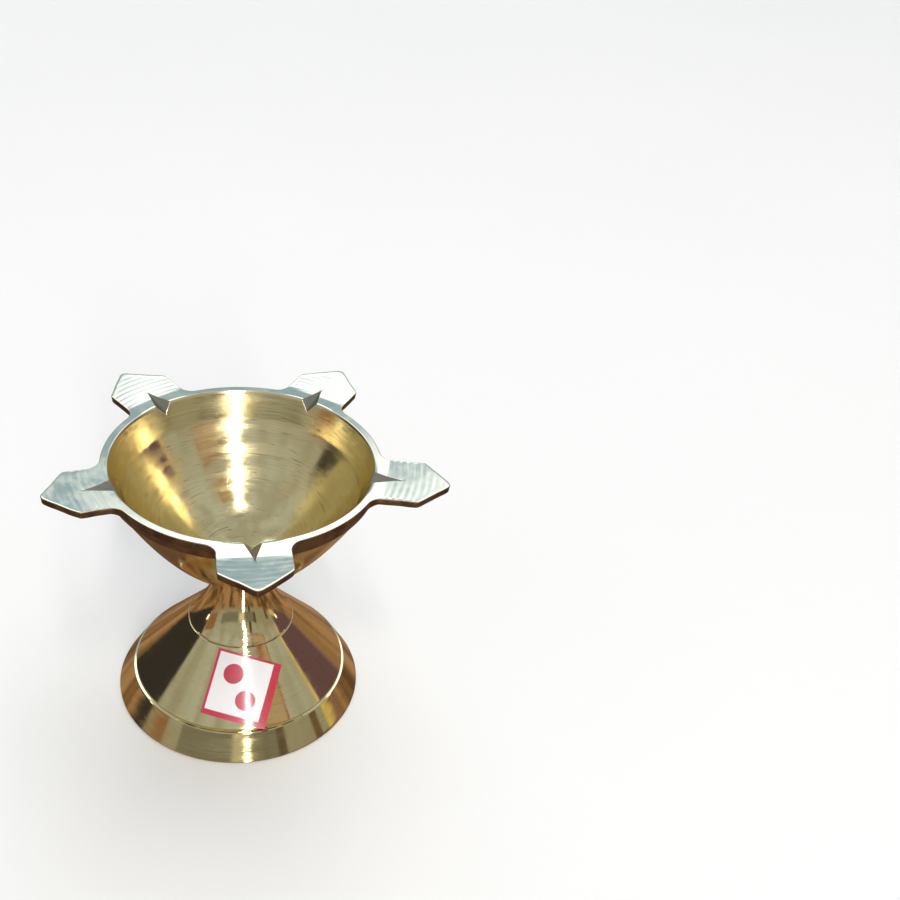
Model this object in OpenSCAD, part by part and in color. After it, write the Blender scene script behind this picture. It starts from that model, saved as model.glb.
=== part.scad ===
// Five-wick diya oil lamp: a turned brass bowl with five flat wick leaves,
// screwed onto a hollow trumpet-shaped brass foot. Millimetres, +Z up.
// Origin: centre of the ring that the foot stands on. One leaf points along -Y.

/* [Pedestal foot] */
// Radius of the foot where it rests
foot_r = 25; // [24:0.5:27]
// Radius of the sharp ridge above the base band
ridge_r = 21.9; // [21:0.1:22.5]
// Height of the ridge
ridge_z = 5.5; // [4.5:0.1:6.5]
// Radius of the scribed ring where the straight cone ends
ring_r = 10.6; // [10:0.1:12]
// Height of the scribed ring
ring_z = 18; // [17:0.1:19]
// Narrowest radius of the neck
neck_r = 5.1; // [4.8:0.1:6]
// Wall thickness of the hollow part of the foot
foot_wall = 2; // [1.6:0.1:2.4]

/* [Bowl] */
// Height of the face where the bowl sits on the neck
joint_z = 30; // [28:0.5:31]
// Height of the flat rim
rim_z = 56.4; // [54:0.2:60]
// Inner radius of the bowl at the rim
rim_inner_r = 25; // [24.4:0.1:25.2]
// Outer radius of the rim between the leaves
rim_outer_r = 26.5; // [26.3:0.05:27]
// Height of the unturned band under the rim
band_h = 4; // [3:0.2:5]
// Height of the bottom of the oil well
well_floor_z = 33; // [32.5:0.5:36]
// Depth below the rim of the line where the well's wall turns steeper
well_line_depth = 5.4; // [4:0.1:8]

/* [Wick leaves] */
// Number of leaves
leaf_count = 5; // [3:1:6]
// Distance from the axis to a leaf's point
leaf_tip_r = 38.8; // [37:0.2:41]
// Distance from the axis to the square shoulders of a leaf
leaf_shoulder_r = 33.3; // [32:0.1:35]
// Extra length of the leaf on the +X side
right_leaf_extra = 1; // [0:0.1:1.2]
// Missing length of the leaf on the -X side
left_leaf_cut = 0.9; // [0:0.1:1.2]
// Turn of the two side leaves towards the back, away from an even spacing, in degrees
side_leaf_turn = 1.8; // [0:0.1:4]
// Width of a leaf
leaf_w = 13.4; // [11:0.2:14]
// Thickness of a leaf
leaf_t = 1.5; // [1.2:0.1:2]
// Distance from the axis to the crease where a leaf starts to rise
crease_r = 27.5; // [27:0.1:29]
// Upward tilt of the outer part of a leaf, in degrees
leaf_rise = 3; // [0:0.5:6]
// Distance from the axis to the outer end of a wick groove
groove_end_r = 30.3; // [29:0.1:32]
// Depth of a wick groove at the rim's inner edge
groove_depth = 1.7; // [1:0.1:2]
// Half of the angle between a groove's two sides, in degrees
groove_half_angle = 46; // [35:1:55]

/* [Screw joint] */
// Radius of the threaded spigot under the bowl
spigot_r = 2.95; // [2.5:0.05:3.2]
// Length of the spigot
spigot_len = 8; // [6:0.5:9]
// Pitch of the thread rings
thread_pitch = 1; // [0.8:0.1:1.25]

/* [Size label] */
// Side of the square paper label
label_w = 13.2; // [10:0.2:13.2]
// Thickness of the label
label_t = 0.12; // [0.1:0.02:0.2]
// Direction of the label round the foot, in degrees from +X
label_azimuth = -92.9; // [-180:0.1:180]
// Turn of the label in its own plane, in degrees
label_turn = -16.5; // [-45:0.5:45]
// Distance up the cone from the ridge to the label's centre
label_up = 8.65; // [8.5:0.05:8.7]

/* [Hidden] */
$fn = 120;
BRASS = "#c9ad5c";
PAPER = "#f4eff0";
ARC_STEPS = 14;

// Slope of the foot's cone above the horizontal, and its length up the slope
cone_slope = atan2(ring_z - ridge_z, ridge_r - ring_r);
cone_len = norm([ridge_r - ring_r, ring_z - ridge_z]);
// The neck is an arc that leaves the cone tangentially and ends upright
neck_turn = 90 - cone_slope;
neck_arc_r = (ring_r - neck_r) / (1 - cos(neck_turn));
neck_top_z = ring_z + neck_arc_r * sin(neck_turn);
function neck_radius(z) = neck_r + neck_arc_r * (1 - cos(asin((neck_top_z - z) / neck_arc_r)));
joint_r = neck_radius(joint_z);

// Small sizes that the turned shapes share
ridge_step = 0.45;
scribe_w = 0.3;
scribe_depth = 0.15;
foot_hollow_top_z = 20.5;
bore_r = spigot_r + 0.05;

// The bowl's outside is a paraboloid from the joint up to the band
band_z = rim_z - band_h;
wall_top_r = 25;
outer_k = (band_z - joint_z) / (wall_top_r * wall_top_r - joint_r * joint_r);
function outer_z(r) = joint_z + outer_k * (r * r - joint_r * joint_r);
// The well is a shallower paraboloid up to its line, then a straight cone
well_line_z = rim_z - well_line_depth;
wall_lean = 24.5;
well_line_r = rim_inner_r - well_line_depth * tan(wall_lean);
well_k = (well_line_z - well_floor_z) / (well_line_r * well_line_r);
function well_z(r) = well_floor_z + well_k * r * r;
AIR = 3;

// Points of the arc that rounds corner b of the path a, b, c with radius r
function unit(v) = v / norm(v);
function turn(t) = t > 180 ? t - 360 : t < -180 ? t + 360 : t;
function rounded(a, b, c, r, n = 6) =
    let (u = unit(a - b), v = unit(c - b), half = acos(u * v) / 2)
    let (o = b + unit(u + v) * r / sin(half))
    let (s = b + u * r / tan(half) - o, e = b + v * r / tan(half) - o)
    let (t0 = atan2(s[1], s[0]), dt = turn(atan2(e[1], e[0]) - t0))
    [for (i = [0:n]) o + r * [cos(t0 + dt * i / n), sin(t0 + dt * i / n)]];

// Cone, neck arc and step of the foot's outside, from the ridge up
function along_cone(d) = [ridge_r - d * cos(cone_slope), ridge_z + d * sin(cone_slope)];
function neck_arc() = [for (i = [1:ARC_STEPS])
    let (z = ring_z + (joint_z - ring_z) * i / ARC_STEPS) [neck_radius(z), z]];

module foot_outside() {
    edge_w = 0.3;
    edge_h = 0.35;
    lip_w = 0.15;
    lip_h = 0.25;
    ledge_rise = 0.05;
    scribe_in = [-sin(cone_slope), -cos(cone_slope)] * scribe_depth;
    rotate_extrude()
        polygon(concat(
            [[0, 0], [foot_r - edge_w, 0], [foot_r, edge_h], [ridge_r + lip_w, ridge_z - lip_h]],
            [[ridge_r, ridge_z], [ridge_r - ridge_step / 2, ridge_z + ledge_rise]],
            [along_cone(ridge_step), along_cone(cone_len - scribe_w)],
            [along_cone(cone_len - scribe_w / 2) + scribe_in, along_cone(cone_len)],
            neck_arc(),
            [[0, joint_z]]));
}

module foot_hollow() {
    wall_across = foot_wall / sin(cone_slope);
    cone_foot = [ridge_r - wall_across, ridge_z];
    cone_top = [ring_r - wall_across, ring_z];
    roof_r = 5;
    rotate_extrude()
        polygon(concat(
            [[0, -AIR], [foot_r - foot_wall, -AIR], [foot_r - foot_wall, 0]],
            [cone_foot],
            rounded(cone_foot, cone_top, [roof_r, foot_hollow_top_z], 3),
            [[roof_r, foot_hollow_top_z], [0, foot_hollow_top_z]]));
}

module pedestal_foot() {
    color(BRASS)
        difference() {
            foot_outside();
            foot_hollow();
            translate([0, 0, foot_hollow_top_z - AIR])
                cylinder(r = bore_r, h = joint_z - foot_hollow_top_z + 2 * AIR);
        }
}

// Outline of one leaf along +X, from inside the rim to its rounded point. $extra, which
// each_leaf() sets, makes the leaf longer or shorter
module leaf_outline() {
    half_w = leaf_w / 2;
    root_r = 2.6;
    root_depth = 0.3;
    shoulder_round = 1.2;
    point_round = 1.5;
    point_loss = 0.35;
    reach = rim_outer_r - root_depth + root_r;
    root_x = sqrt(reach * reach - pow(half_w + root_r, 2));
    root_o = [root_x, half_w + root_r];
    touch = atan2(root_o[1], root_o[0]);
    flare = [for (i = [0:8])
        let (t = 180 + touch + (270 - 180 - touch) * i / 8)
        root_o + root_r * [cos(t), sin(t)]];
    shoulder = [leaf_shoulder_r + $extra, half_w];
    tip = [leaf_tip_r + $extra + point_loss, 0];
    side = concat(
        [[rim_inner_r - AIR, half_w]],
        flare,
        rounded([root_x, half_w], shoulder, tip, shoulder_round));
    point = rounded(shoulder, tip, [shoulder[0], -half_w], point_round);
    mirrored = [for (i = [len(side) - 1:-1:0]) [side[i][0], -side[i][1]]];
    polygon(concat(side, point, mirrored));
}

// Flat plate of the rim, out to the crease of each leaf
module rim_plate() {
    translate([0, 0, rim_z - leaf_t])
        linear_extrude(height = leaf_t)
            union() {
                circle(r = rim_outer_r);
                each_leaf()
                    intersection() {
                        leaf_outline();
                        translate([0, -leaf_w])
                            square([crease_r, 2 * leaf_w]);
                    }
            }
}

// Side view of the outer part of a leaf, which rises from the crease
module rising_side() {
    end_r = leaf_tip_r + AIR;
    rise = (end_r - crease_r) * tan(leaf_rise);
    polygon([
        [crease_r, rim_z - leaf_t],
        [end_r, rim_z - leaf_t + rise],
        [end_r, rim_z + rise],
        [crease_r, rim_z]]);
}

module leaf_point() {
    intersection() {
        translate([0, 0, rim_z - 2 * leaf_t])
            linear_extrude(height = 4 * leaf_t)
                leaf_outline();
        rotate([90, 0, 0])
            linear_extrude(height = 2 * leaf_w, center = true)
                rising_side();
    }
}

// V groove that starts at the surface of the leaf and deepens towards the well
module wick_groove() {
    end_z = rim_z + (groove_end_r - crease_r) * tan(leaf_rise);
    slope = atan2(end_z - rim_z + groove_depth, groove_end_r - rim_inner_r);
    reach = (groove_end_r - rim_inner_r + 2) / cos(slope);
    run_out = 1;
    open_h = 4;
    open_w = open_h * tan(groove_half_angle);
    translate([groove_end_r, 0, end_z])
        rotate([0, -slope, 0])
            rotate([90, 0, -90])
                translate([0, 0, -run_out])
                    linear_extrude(height = reach + run_out)
                        polygon([[0, 0], [open_w, open_h], [-open_w, open_h]]);
}

function leaf_turn(i) = i == 1 ? side_leaf_turn : i == leaf_count - 1 ? -side_leaf_turn : 0;
function leaf_extra(i) = i == 1 ? right_leaf_extra : i == leaf_count - 1 ? -left_leaf_cut : 0;

module each_leaf() {
    for (i = [0:leaf_count - 1])
        let ($extra = leaf_extra(i))
            rotate([0, 0, -90 + i * 360 / leaf_count + leaf_turn(i)])
                children();
}

module bowl_outside() {
    spigot_end_z = joint_z - spigot_len;
    chamfer = 0.5;
    step_w = 0.45;
    step_h = 0.2;
    band_top_r = rim_outer_r - 0.1;
    rotate_extrude()
        polygon(concat(
            [[0, spigot_end_z], [spigot_r - chamfer, spigot_end_z]],
            [[spigot_r, spigot_end_z + chamfer], [spigot_r, joint_z]],
            [for (i = [0:ARC_STEPS])
                let (r = joint_r + (wall_top_r - joint_r) * i / ARC_STEPS) [r, outer_z(r)]],
            [[wall_top_r + step_w, band_z + step_h], [band_top_r, rim_z - leaf_t]],
            [[band_top_r, rim_z - leaf_t / 2], [0, rim_z - leaf_t / 2]]));
}

module well() {
    top_r = rim_inner_r + AIR * tan(wall_lean);
    rotate_extrude()
        polygon(concat(
            [for (i = [0:ARC_STEPS])
                let (r = well_line_r * i / ARC_STEPS) [r, well_z(r)]],
            [[top_r, rim_z + AIR], [0, rim_z + AIR]]));
}

module thread_rings() {
    thread_depth = 0.45;
    past = 0.1;
    half_open = 0.45 * thread_pitch;
    for (i = [1:spigot_len / thread_pitch - 1])
        translate([0, 0, joint_z - i * thread_pitch])
            rotate_extrude()
                polygon([
                    [spigot_r - thread_depth, 0],
                    [spigot_r + past, half_open],
                    [spigot_r + past, -half_open]]);
}

module oil_bowl() {
    color(BRASS)
        difference() {
            union() {
                bowl_outside();
                rim_plate();
                each_leaf() leaf_point();
            }
            well();
            each_leaf() wick_groove();
            thread_rings();
        }
}

// Paper that lies on the cone: a thin conical skin cut to a square
module size_label() {
    out = [sin(cone_slope), cos(cone_slope)] * label_t;
    low = along_cone(ridge_step);
    high = along_cone(cone_len);
    centre = along_cone(label_up);
    color(PAPER)
        intersection() {
            rotate_extrude()
                polygon([low, low + out, high + out, high]);
            rotate([0, 0, label_azimuth])
                translate([centre[0], 0, centre[1]])
                    rotate([0, cone_slope, 0])
                        rotate([0, 0, label_turn])
                            cube([label_w, label_w, 8], center = true);
        }
}

oil_bowl();
pedestal_foot();
size_label();
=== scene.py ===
"""A five-wick diya oil lamp of turned brass on a pale studio floor.

The bowl, the foot and the paper label each replace the plain CAD node of the same part with a
finer mesh of the same size. Profiles are in millimetres and are scaled to metres at the end.
"""

import math

import bpy
import numpy as np
from mathutils import Matrix, Vector, noise


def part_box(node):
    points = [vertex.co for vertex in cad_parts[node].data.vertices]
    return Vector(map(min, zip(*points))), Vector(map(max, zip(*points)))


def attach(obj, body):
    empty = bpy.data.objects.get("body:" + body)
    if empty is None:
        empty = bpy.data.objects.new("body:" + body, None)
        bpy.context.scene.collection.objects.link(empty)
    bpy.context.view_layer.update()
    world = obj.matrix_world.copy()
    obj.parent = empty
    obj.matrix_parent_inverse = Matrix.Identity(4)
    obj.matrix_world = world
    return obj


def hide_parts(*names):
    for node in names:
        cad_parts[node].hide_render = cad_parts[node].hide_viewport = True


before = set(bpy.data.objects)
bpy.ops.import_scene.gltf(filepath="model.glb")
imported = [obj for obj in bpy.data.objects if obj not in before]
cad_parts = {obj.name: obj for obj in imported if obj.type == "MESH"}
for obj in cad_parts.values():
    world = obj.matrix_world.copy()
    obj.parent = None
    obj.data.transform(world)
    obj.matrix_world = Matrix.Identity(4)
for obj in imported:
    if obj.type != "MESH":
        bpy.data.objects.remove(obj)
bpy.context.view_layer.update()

MM = 0.001
bowl_lo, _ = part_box("oil_bowl")
_, foot_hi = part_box("pedestal_foot")

# ---------------------------------------------------------------- driving dimensions, in mm

# From the frame
FOOT_R = foot_hi.x / MM
JOINT_Z = foot_hi.z / MM
SPIGOT_END_Z = bowl_lo.z / MM

# Bowl
RIM_Z = 56.4  # flat top of the rim
RIM_IN_R = 25.0
RIM_OUT_R = 26.5
WALL_LEAN = math.radians(24.5)  # of the well's upper wall, from upright
WELL_LINE_DEPTH = 5.4  # from the rim to the line round the well
WELL_FLOOR_Z = 33.0
BAND_H = 4.0  # from the rim's top to the lower end of the cast band
WALL_TOP_R = 25.0  # outside, under the band
JOINT_R = 5.22  # of the lower face, which rests on the foot
SPIGOT_R = 2.95
THREAD_PITCH = 1.0
THREAD_DEPTH = 0.45

# Wick leaves: front, right, right back, left back, left. Each has its direction in degrees, its
# extra length, the height of its facing marks and the distance out to its crease
LEAF_TURNS = [-90.0, -16.2, 54.0, 126.0, 196.2]
LEAF_EXTRA = [0.0, 1.0, 0.0, 0.0, -0.9]
LEAF_CHATTER = [0.0015, 0.006, 0.004, 0.004, 0.005]
LEAF_CREASE_X = [29.0, 27.5, 27.5, 27.5, 27.5]
LEAF_HALF_W = 6.7
LEAF_T = 1.5
LEAF_TIP_X = 39.15  # where the straight edges would meet, before the tip is rounded
LEAF_SHOULDER_X = 33.3
LEAF_ROOT_R = 2.6  # round where a leaf's side runs into the rim
LEAF_RISE = math.tan(math.radians(3))  # beyond the crease
EDGE_ROUND = 0.18  # top edge of the leaves and the rim
GROOVE_END_X = 30.3
GROOVE_DEPTH = 1.7  # at the rim's inner edge
GROOVE_SPREAD = math.tan(math.radians(46))  # half the V's angle

# Foot
RIDGE_R, RIDGE_Z = 21.9, 5.5  # between the base and the cone
RING_R, RING_Z = 10.6, 18.0  # scribed where the cone runs into the neck
NECK_R = 5.1
FOOT_WALL = 2.0
ROOF_R, ROOF_Z = 5.0, 20.5  # of the hollow, below the neck
BORE_R = 3.0

# Label
LABEL_W = 13.2
LABEL_T = 0.12
LABEL_AZIMUTH = math.radians(-92.9)
LABEL_TURN = math.radians(-16.5)
LABEL_UP = 8.65  # its middle, up the cone from the ridge


def place_object(name, data):
    made = bpy.data.objects.new(name, data)
    bpy.context.scene.collection.objects.link(made)
    return made


# ---------------------------------------------------------------- camera

CAMERA_AT = (-14.2, -193.4, 191.9)
CAMERA_HEADING = 15.7  # degrees clockwise from +Y
CAMERA_PITCH = 33.8  # degrees below the horizon
CAMERA_ROLL = 7.4
CAMERA_LENS = 49.1  # on a sensor 36 mm wide


def make_camera():
    data = bpy.data.cameras.new("camera")
    data.sensor_width = 36
    data.lens = CAMERA_LENS
    data.clip_start, data.clip_end = 0.01, 20
    camera = place_object("camera", data)
    turn = Matrix.Rotation(-math.radians(CAMERA_HEADING), 4, "Z")
    tilt = Matrix.Rotation(math.radians(90 - CAMERA_PITCH), 4, "X")
    roll = Matrix.Rotation(math.radians(CAMERA_ROLL), 4, "Z")
    place = Matrix.Translation(Vector(CAMERA_AT) * MM)
    camera.matrix_world = place @ turn @ tilt @ roll
    bpy.context.scene.camera = camera


# ---------------------------------------------------------------- mesh helpers


def ease(t):
    """From 0 at t = 0 to 1 at t = 1, level at both ends."""
    t = np.clip(t, 0, 1)
    return t * t * (3 - 2 * t)


def ripple(s, azimuth, size, seed):
    """Smooth noise of about -1 to 1 along a turned profile, with no seam round the axis."""
    return np.array([
        noise.noise(Vector((si / size, 1.6 * math.cos(a) + seed, 1.6 * math.sin(a))))
        for si, a in zip(np.broadcast_to(s, azimuth.shape), azimuth)
    ])


class Skin:
    """A closed surface made of rings of points, each joined to the next."""

    def __init__(self):
        self.points, self.wear_and_sheen = [], []
        self.faces, self.finish = [], []
        self.count = 0

    def ring(self, xyz, wear_and_sheen=0.0):
        ids = np.arange(self.count, self.count + len(xyz))
        self.points.append(np.asarray(xyz, float))
        self.wear_and_sheen.append(np.full(len(xyz), wear_and_sheen))
        self.count += len(xyz)
        return ids

    def join(self, a, b, finish):
        """Faces between ring a and ring b, which has as many points, or half, or twice."""
        if len(b) == 2 * len(a):
            start = len(self.faces)
            self.join(b, a, finish)
            self.faces[start:] = [f[::-1] for f in self.faces[start:]]
            return
        a1, b1 = np.roll(a, -1), np.roll(b, -1)
        if len(a) == len(b):
            new = np.stack([a, a1, b1, b], 1).tolist()
        else:
            even, odd, after = a[::2], a[1::2], np.roll(a[::2], -1)
            new = np.stack([even, odd, b], 1).tolist()
            new += np.stack([odd, b1, b], 1).tolist()
            new += np.stack([odd, after, b1], 1).tolist()
        self.faces += new
        self.finish += [finish] * len(new)

    def cap(self, ring, point, finish):
        """A fan of faces from the last ring to one point on the axis."""
        pole = self.ring(np.array([point]))[0]
        self.faces += [[int(i), int(j), int(pole)] for i, j in zip(ring, np.roll(ring, -1))]
        self.finish += [finish] * len(ring)

    def build(self, name, finishes, finish_rule=None):
        """The finished piece, with its faces turned outwards."""
        sharp_angle = math.radians(32)
        co = np.concatenate(self.points)
        mesh = bpy.data.meshes.new(name)
        mesh.from_pydata((co * MM).tolist(), [], self.faces)
        finish = np.array(self.finish)
        if finish_rule:
            centres = np.array([co[f].mean(0) for f in self.faces])
            finish = finish_rule(centres, finish)
        for material in finishes:
            mesh.materials.append(material)
        mesh.polygons.foreach_set("material_index", finish.astype(np.int32))
        mesh.polygons.foreach_set("use_smooth", np.ones(len(self.faces), bool))
        # A weight that lightens the colour: wear on the bowl's edges, and a painted highlight along the
        # foot's ridge
        wear_and_sheen = mesh.attributes.new("wear_and_sheen", "FLOAT", "POINT")
        wear_and_sheen.data.foreach_set("value", np.concatenate(self.wear_and_sheen).astype(np.float32))
        mesh.update()
        tris = np.array([[f[0], f[i], f[i + 1]] for f in self.faces for i in range(1, len(f) - 1)])
        p, q, r = co[tris[:, 0]], co[tris[:, 1]], co[tris[:, 2]]
        if np.einsum("ij,ij->i", p, np.cross(q, r)).sum() < 0:
            mesh.flip_normals()
        mesh.set_sharp_from_angle(angle=sharp_angle)
        return place_object(name, mesh)


def round_path(corners, step):
    """Dense (r, z) points along straight lines between corners (r, z, radius of the round)."""
    out = []
    for i, (r, z, radius) in enumerate(corners):
        p = np.array([r, z], float)
        if radius == 0 or i in (0, len(corners) - 1):
            out.append(p)
            continue
        u = np.array(corners[i - 1][:2]) - p
        v = np.array(corners[i + 1][:2]) - p
        u, v = u / np.linalg.norm(u), v / np.linalg.norm(v)
        half = math.acos(np.clip(u @ v, -1, 1)) / 2
        back = radius / math.tan(half)
        centre = p + (u + v) / np.linalg.norm(u + v) * radius / math.sin(half)
        s, e = p + u * back - centre, p + v * back - centre
        t0 = math.atan2(s[1], s[0])
        dt = (math.atan2(e[1], e[0]) - t0 + math.pi) % (2 * math.pi) - math.pi
        n = max(2, math.ceil(abs(dt) / math.radians(25)))
        for k in range(n + 1):
            t = t0 + dt * k / n
            out.append(centre + radius * np.array([math.cos(t), math.sin(t)]))
    dense = [out[0]]
    for p in out[1:]:
        gap = np.linalg.norm(p - dense[-1])
        n = max(1, math.ceil(gap / step))
        start = dense[-1]
        dense += [start + (p - start) * k / n for k in range(1, n + 1)]
    return np.array(dense)


def path_lengths(path):
    return np.concatenate([[0], np.cumsum(np.linalg.norm(np.diff(path, axis=0), axis=1))])


def path_normals(path):
    d = np.gradient(path, axis=0)
    n = np.stack([-d[:, 1], d[:, 0]], 1)
    return n / np.maximum(np.linalg.norm(n, axis=1), 1e-9)[:, None]


def turned(r, z, azimuth):
    r, z = np.broadcast_to(r, azimuth.shape), np.broadcast_to(z, azimuth.shape)
    return np.stack([r * np.cos(azimuth), r * np.sin(azimuth), z], 1)


# ---------------------------------------------------------------- bowl

SPOKES = 640
SECTOR = SPOKES // len(LEAF_TURNS)  # spokes from one leaf to the next
TIP_STEPS, SLANT_STEPS, SHOULDER_STEPS, SIDE_STEPS, FLARE_STEPS = 4, 14, 5, 11, 10
LEAF_SIDE = TIP_STEPS + SLANT_STEPS + SHOULDER_STEPS + SIDE_STEPS + FLARE_STEPS
TURNED_IN, FACED, CAST_AND_SHADE, TURNED_OUT, THREAD, FILED_AND_SHADE = range(6)


def arc(centre, radius, start, end, steps):
    t = np.linspace(start, end, steps + 1)
    return np.array(centre) + radius * np.stack([np.cos(t), np.sin(t)], 1)


def line(start, end, steps):
    t = np.linspace(0, 1, steps + 1)[:, None]
    return np.array(start) * (1 - t) + np.array(end) * t


def half_leaf(extra):
    """Outline of half a leaf along +X with y above 0, from the tip to where it meets the rim."""
    tip_round, shoulder_round = 1.5, 1.2
    tip_x, shoulder_x = LEAF_TIP_X + extra, LEAF_SHOULDER_X + extra
    half = math.atan2(LEAF_HALF_W, tip_x - shoulder_x)
    lean = math.pi / 2 - half
    tip = arc((tip_x - tip_round / math.sin(half), 0), tip_round, 0, lean, TIP_STEPS)
    shoulder_o = (
        shoulder_x - shoulder_round * (1 - math.sin(lean)) / math.cos(lean),
        LEAF_HALF_W - shoulder_round,
    )
    shoulder = arc(shoulder_o, shoulder_round, lean, math.pi / 2, SHOULDER_STEPS)
    root_x = math.sqrt((RIM_OUT_R + LEAF_ROOT_R) ** 2 - (LEAF_HALF_W + LEAF_ROOT_R) ** 2)
    root_o = (root_x, LEAF_HALF_W + LEAF_ROOT_R)
    touch = math.atan2(root_o[1], root_o[0])
    flare = arc(root_o, LEAF_ROOT_R, 1.5 * math.pi, math.pi + touch, FLARE_STEPS)
    slant = line(tip[-1], shoulder[0], SLANT_STEPS)
    side = line(shoulder[-1], flare[0], SIDE_STEPS)
    return np.concatenate([tip, slant[1:], shoulder[1:], side[1:], flare[1:]])


class Plan:
    """The rim and its leaves from above: one spoke for each point of the outline."""

    def __init__(self):
        rim_steps = SECTOR - 2 * LEAF_SIDE
        # A spoke's axis is its leaf's direction. Its rank counts from the leaf's tip, and is SPOKES
        # on the rim between the leaves
        local, axis, rank = [], [], []
        for i, turn in enumerate(LEAF_TURNS):
            half = half_leaf(LEAF_EXTRA[i])
            whole = np.concatenate([half[::-1] * (1, -1), half[1:]])
            a = math.radians(turn)
            after = math.radians(LEAF_TURNS[(i + 1) % len(LEAF_TURNS)])
            root = math.atan2(half[-1][1], half[-1][0])
            gap = (after - a) % (2 * math.pi) - 2 * root
            rim = root + gap * np.arange(1, rim_steps) / rim_steps
            rim = RIM_OUT_R * np.stack([np.cos(rim), np.sin(rim)], 1)
            local += [whole, rim]
            axis += [a] * (len(whole) + len(rim))
            rank += list(range(-LEAF_SIDE, LEAF_SIDE + 1)) + [SPOKES] * len(rim)
        self.axis, self.rank = np.array(axis), np.array(rank)
        self.chatter = np.repeat(LEAF_CHATTER, SECTOR)
        self.crease = np.repeat(LEAF_CREASE_X, SECTOR)
        out = self.to_row(np.concatenate(local))
        tangent = np.roll(out, -1, 0) - np.roll(out, 1, 0)
        tangent /= np.linalg.norm(tangent, axis=1)[:, None]
        self.normal = np.stack([tangent[:, 1], -tangent[:, 0]], 1)
        reach = np.linalg.norm(out, axis=1)
        self.leaf = ease((reach - RIM_OUT_R) / 1.5)
        # Hand filing leaves the leaves' edges a little uneven, never beyond the drawn outline
        uneven = np.array([noise.noise(Vector((x / 2.3, y / 2.3, 4.2))) for x, y in out])
        broad = np.array([noise.noise(Vector((x / 7.0, y / 7.0, 9.1))) for x, y in out])
        cut = self.leaf * (0.10 + 0.10 * uneven + 0.12 * broad)
        self.outline = out - self.normal * np.maximum(cut, 0)[:, None]
        self.azimuth = np.unwrap(np.arctan2(self.outline[:, 1], self.outline[:, 0]))
        even = self.azimuth[0] + 2 * math.pi * np.arange(SPOKES) / SPOKES
        self.even = even + (self.azimuth - even).mean()
        # For each spoke, the spoke beside the tip of the same sector's leaf
        self.beside_tip = np.arange(SPOKES) // SECTOR * SECTOR + LEAF_SIDE + 1

    def to_row(self, local):
        """From each spoke's leaf coordinates, x out along the leaf, to the part's x and y."""
        c, s = np.cos(self.axis), np.sin(self.axis)
        x, y = local[:, 0], local[:, 1]
        return np.stack([x * c - y * s, x * s + y * c], 1)

    def to_leaf(self, xy):
        """The reverse of to_row."""
        c, s = np.cos(self.axis), np.sin(self.axis)
        return np.stack([xy[:, 0] * c + xy[:, 1] * s, -xy[:, 0] * s + xy[:, 1] * c], 1)

    def turned_azimuth(self, t):
        """Azimuths that go from the outline's spacing at t = 0 to an even one at t = 1."""
        return self.azimuth + (self.even - self.azimuth) * float(ease(t))


def plate_z(x, crease):
    """Height of the rim's top or of a leaf's, by the distance out along the leaf."""
    past, softness = x - crease, 0.3
    return RIM_Z + LEAF_RISE * (past + np.sqrt(past * past + softness ** 2)) / 2


def groove_z(x, y, crease):
    """Height of the groove's V, which is above the leaf beyond the groove's end."""
    end_z = RIM_Z + LEAF_RISE * (GROOVE_END_X - crease)
    fall = (end_z - RIM_Z + GROOVE_DEPTH) / (GROOVE_END_X - RIM_IN_R)
    return end_z + (x - GROOVE_END_X) * fall + np.abs(y) / GROOVE_SPREAD


def groove_half_width(x, crease):
    return np.maximum(0, plate_z(x, crease) - groove_z(x, 0, crease)) * GROOVE_SPREAD


def wall_r(z):
    """Radius of the well's upper wall."""
    return RIM_IN_R - (RIM_Z - z) * math.tan(WALL_LEAN)


def follow_groove(plan, x, y):
    """Moves the spokes beside each leaf's middle so that one runs along each edge of the groove."""
    spread_to = 5.5
    first = np.abs(y[plan.beside_tip])
    wide = groove_half_width(x, plan.crease)
    inside = (plan.rank != 0) & (np.abs(y) < spread_to) & (wide > first)
    moved = wide + (np.abs(y) - first) * (spread_to - wide) / (spread_to - first)
    return np.where(plan.rank == 0, 0, np.where(inside, np.sign(y) * moved, y))


def rim_edge(plan):
    """The rim's inner edge in leaf coordinates: a circle that dips where the grooves cut it."""
    local = plan.azimuth - plan.axis
    x, y = RIM_IN_R * np.cos(local), RIM_IN_R * np.sin(local)
    y = follow_groove(plan, x, y)
    x = np.sqrt(RIM_IN_R ** 2 - y ** 2)
    z = np.full(SPOKES, RIM_Z)
    lean = math.tan(WALL_LEAN)
    mid = plan.rank == 0
    fall = groove_z(RIM_IN_R, 0, plan.crease[mid]) - groove_z(RIM_IN_R - 1, 0, plan.crease[mid])
    drop = GROOVE_DEPTH / (1 - fall * lean)
    z[mid] = RIM_Z - drop  # where the groove's bottom meets the leaning wall
    x[mid] = RIM_IN_R - drop * lean
    return x, y, z


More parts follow.
